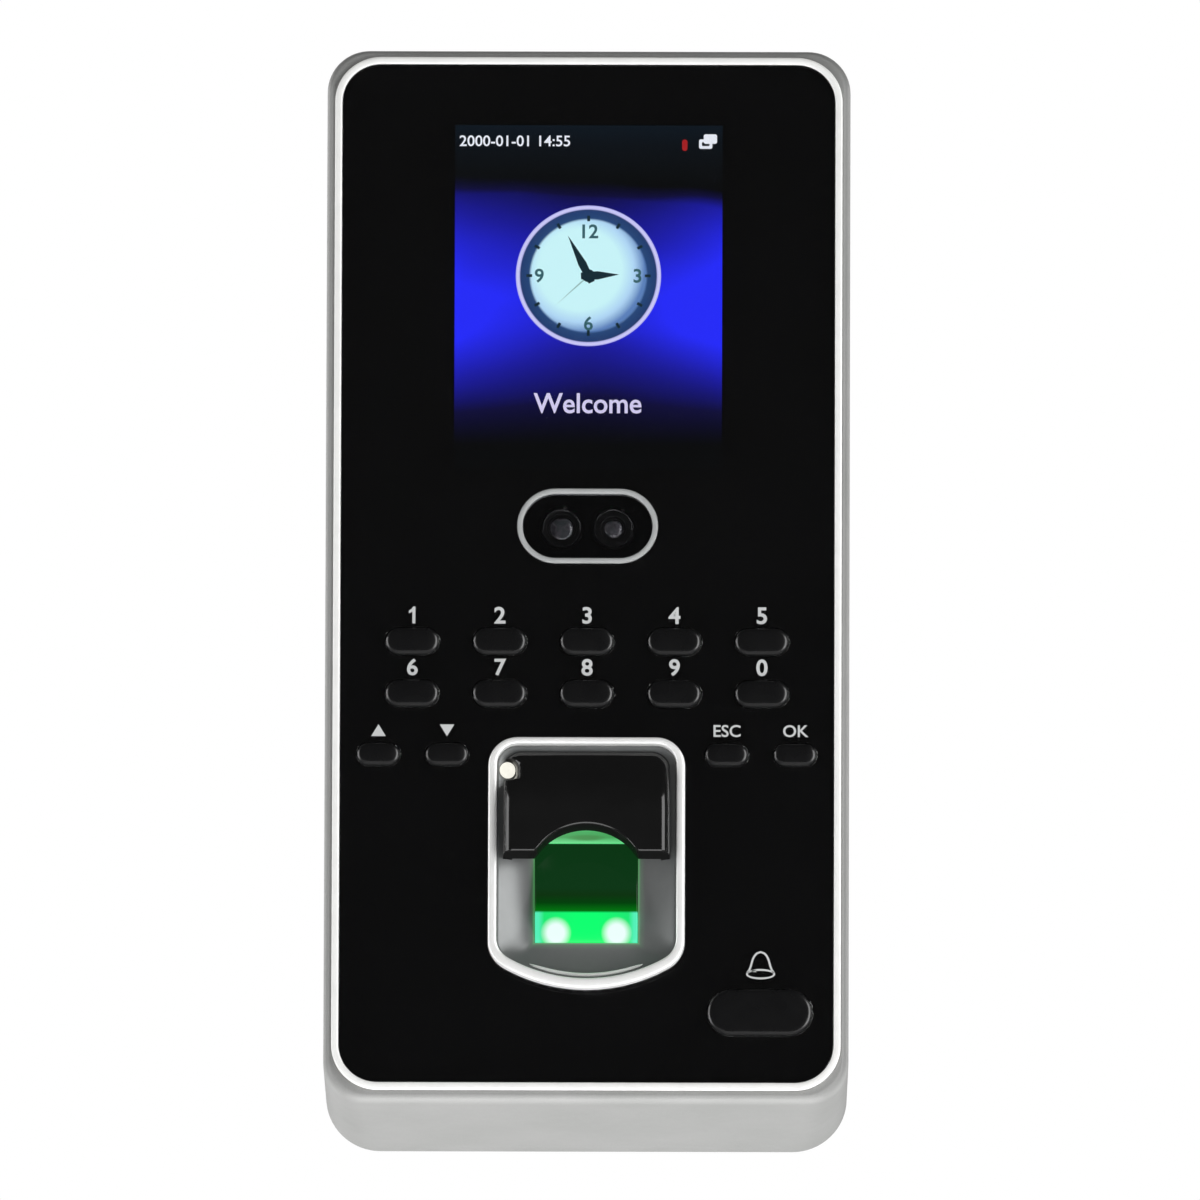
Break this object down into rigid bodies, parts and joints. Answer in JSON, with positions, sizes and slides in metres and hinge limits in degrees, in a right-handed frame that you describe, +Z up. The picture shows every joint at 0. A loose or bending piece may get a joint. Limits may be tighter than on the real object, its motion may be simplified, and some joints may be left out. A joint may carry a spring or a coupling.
{
  "type": "fingerprint and face access terminal",
  "caption": "Slim upright wall terminal: glossy black front with screen, camera window, number keys, hooded fingerprint reader and bell key in a rounded silver-grey casing.",
  "frame": {"origin": "centre of the wall plate's back face, in the plane of the wall", "axes": "+X to the viewer's right, +Y into the wall, +Z up"},
  "size_m": [0.09, 0.0447, 0.1864],
  "materials": {
    "casing_grey": "fine satin moulded silver-grey ABS",
    "trim_silver": "bright satin silver",
    "clear_acrylic": "polished clear acrylic",
    "smoked_acrylic": "polished smoked acrylic",
    "black_film": "screen-printed black film",
    "ring_grey": "satin grey metal",
    "lens_black": "matt black barrel with coated glass",
    "board_green": "solder-masked circuit board",
    "flex_amber": "polyimide ribbon",
    "foam_black": "closed-cell foam",
    "screen_lit": "lit display glass",
    "backlight_white": "moulded white backlight frame",
    "key_black": "satin black keycap",
    "part_black": "moulded black resin",
    "ring_silver": "bright satin silver",
    "cradle_grey": "satin metallic grey moulding",
    "hood_black": "polished black moulding",
    "prism_green": "green-lit optical prism",
    "lamp_white": "diffusing white light pipe",
    "led_green": "clear green emitter",
    "lead_white": "PVC wire",
    "lead_red": "PVC wire",
    "socket_metal": "tinned sheet shell",
    "terminal_green": "moulded terminal housing",
    "cell_steel": "coin cell in its holder",
    "plunger_white": "moulded white acetal",
    "screw_steel": "zinc-plated cross-recessed screws",
    "cover_black": "textured black ABS",
    "plate_zinc": "zinc-plated sheet"
  },
  "bodies": {
    "housing": {"front_casing": "casing_grey", "trim_ring": "trim_silver", "front_panel": "clear_acrylic", "panel_film": "black_film", "camera_ring": "ring_grey", "camera_window": "smoked_acrylic", "camera_left": "lens_black", "camera_right": "lens_black", "camera_board": "board_green", "camera_flex": "flex_amber", "lcd_gasket": "foam_black", "lcd_glass": "screen_lit", "lcd_frame": "backlight_white", "lcd_flex": "flex_amber", "key_switches": "part_black", "keypad_board": "board_green", "keypad_flex": "flex_amber", "bell_board": "board_green", "bell_lead": "lead_white", "finger_ring": "ring_silver", "finger_cradle": "cradle_grey", "finger_hood": "hood_black", "finger_prism": "prism_green", "status_lamp": "lamp_white", "sensor_housing": "part_black", "sensor_leds": "led_green", "sensor_board": "board_green", "sensor_lead": "lead_white", "main_board": "board_green", "main_chips": "part_black", "network_jack": "socket_metal", "usb_port": "socket_metal", "terminal_block": "terminal_green", "relay": "part_black", "clock_battery": "cell_steel", "speaker": "part_black", "speaker_lead": "lead_red", "tamper_switch": "part_black", "board_screws": "screw_steel", "rear_cover": "cover_black", "cover_screws": "screw_steel", "wall_plate": "plate_zinc"},
    "key_1": {"key_1": "key_black"},
    "key_2": {"key_2": "key_black"},
    "key_3": {"key_3": "key_black"},
    "key_4": {"key_4": "key_black"},
    "key_5": {"key_5": "key_black"},
    "key_6": {"key_6": "key_black"},
    "key_7": {"key_7": "key_black"},
    "key_8": {"key_8": "key_black"},
    "key_9": {"key_9": "key_black"},
    "key_0": {"key_0": "key_black"},
    "key_up": {"key_up": "key_black"},
    "key_down": {"key_down": "key_black"},
    "key_esc": {"key_esc": "key_black"},
    "key_ok": {"key_ok": "key_black"},
    "key_bell": {"key_bell": "key_black"},
    "tamper_plunger": {"tamper_plunger": "plunger_white"}
  },
  "joints": [
    {"name": "key_1_press", "type": "slide", "parent": "housing", "child": "key_1", "axis": [0, 1, 0], "range_m": [0, 0.0007], "stiffness_N_per_m": 1500, "springref_m": -0.0004},
    {"name": "key_2_press", "type": "slide", "parent": "housing", "child": "key_2", "axis": [0, 1, 0], "range_m": [0, 0.0007], "stiffness_N_per_m": 1500, "springref_m": -0.0004},
    {"name": "key_3_press", "type": "slide", "parent": "housing", "child": "key_3", "axis": [0, 1, 0], "range_m": [0, 0.0007], "stiffness_N_per_m": 1500, "springref_m": -0.0004},
    {"name": "key_4_press", "type": "slide", "parent": "housing", "child": "key_4", "axis": [0, 1, 0], "range_m": [0, 0.0007], "stiffness_N_per_m": 1500, "springref_m": -0.0004},
    {"name": "key_5_press", "type": "slide", "parent": "housing", "child": "key_5", "axis": [0, 1, 0], "range_m": [0, 0.0007], "stiffness_N_per_m": 1500, "springref_m": -0.0004},
    {"name": "key_6_press", "type": "slide", "parent": "housing", "child": "key_6", "axis": [0, 1, 0], "range_m": [0, 0.0007], "stiffness_N_per_m": 1500, "springref_m": -0.0004},
    {"name": "key_7_press", "type": "slide", "parent": "housing", "child": "key_7", "axis": [0, 1, 0], "range_m": [0, 0.0007], "stiffness_N_per_m": 1500, "springref_m": -0.0004},
    {"name": "key_8_press", "type": "slide", "parent": "housing", "child": "key_8", "axis": [0, 1, 0], "range_m": [0, 0.0007], "stiffness_N_per_m": 1500, "springref_m": -0.0004},
    {"name": "key_9_press", "type": "slide", "parent": "housing", "child": "key_9", "axis": [0, 1, 0], "range_m": [0, 0.0007], "stiffness_N_per_m": 1500, "springref_m": -0.0004},
    {"name": "key_0_press", "type": "slide", "parent": "housing", "child": "key_0", "axis": [0, 1, 0], "range_m": [0, 0.0007], "stiffness_N_per_m": 1500, "springref_m": -0.0004},
    {"name": "key_up_press", "type": "slide", "parent": "housing", "child": "key_up", "axis": [0, 1, 0], "range_m": [0, 0.0007], "stiffness_N_per_m": 1500, "springref_m": -0.0004},
    {"name": "key_down_press", "type": "slide", "parent": "housing", "child": "key_down", "axis": [0, 1, 0], "range_m": [0, 0.0007], "stiffness_N_per_m": 1500, "springref_m": -0.0004},
    {"name": "key_esc_press", "type": "slide", "parent": "housing", "child": "key_esc", "axis": [0, 1, 0], "range_m": [0, 0.0007], "stiffness_N_per_m": 1500, "springref_m": -0.0004},
    {"name": "key_ok_press", "type": "slide", "parent": "housing", "child": "key_ok", "axis": [0, 1, 0], "range_m": [0, 0.0007], "stiffness_N_per_m": 1500, "springref_m": -0.0004},
    {"name": "key_bell_press", "type": "slide", "parent": "housing", "child": "key_bell", "axis": [0, 1, 0], "range_m": [0, 0.0007], "stiffness_N_per_m": 1500, "springref_m": -0.0004},
    {"name": "tamper_press", "type": "slide", "parent": "housing", "child": "tamper_plunger", "axis": [0, -1, 0], "range_m": [0, 0.0008], "stiffness_N_per_m": 600, "springref_m": -0.001}
  ]
}
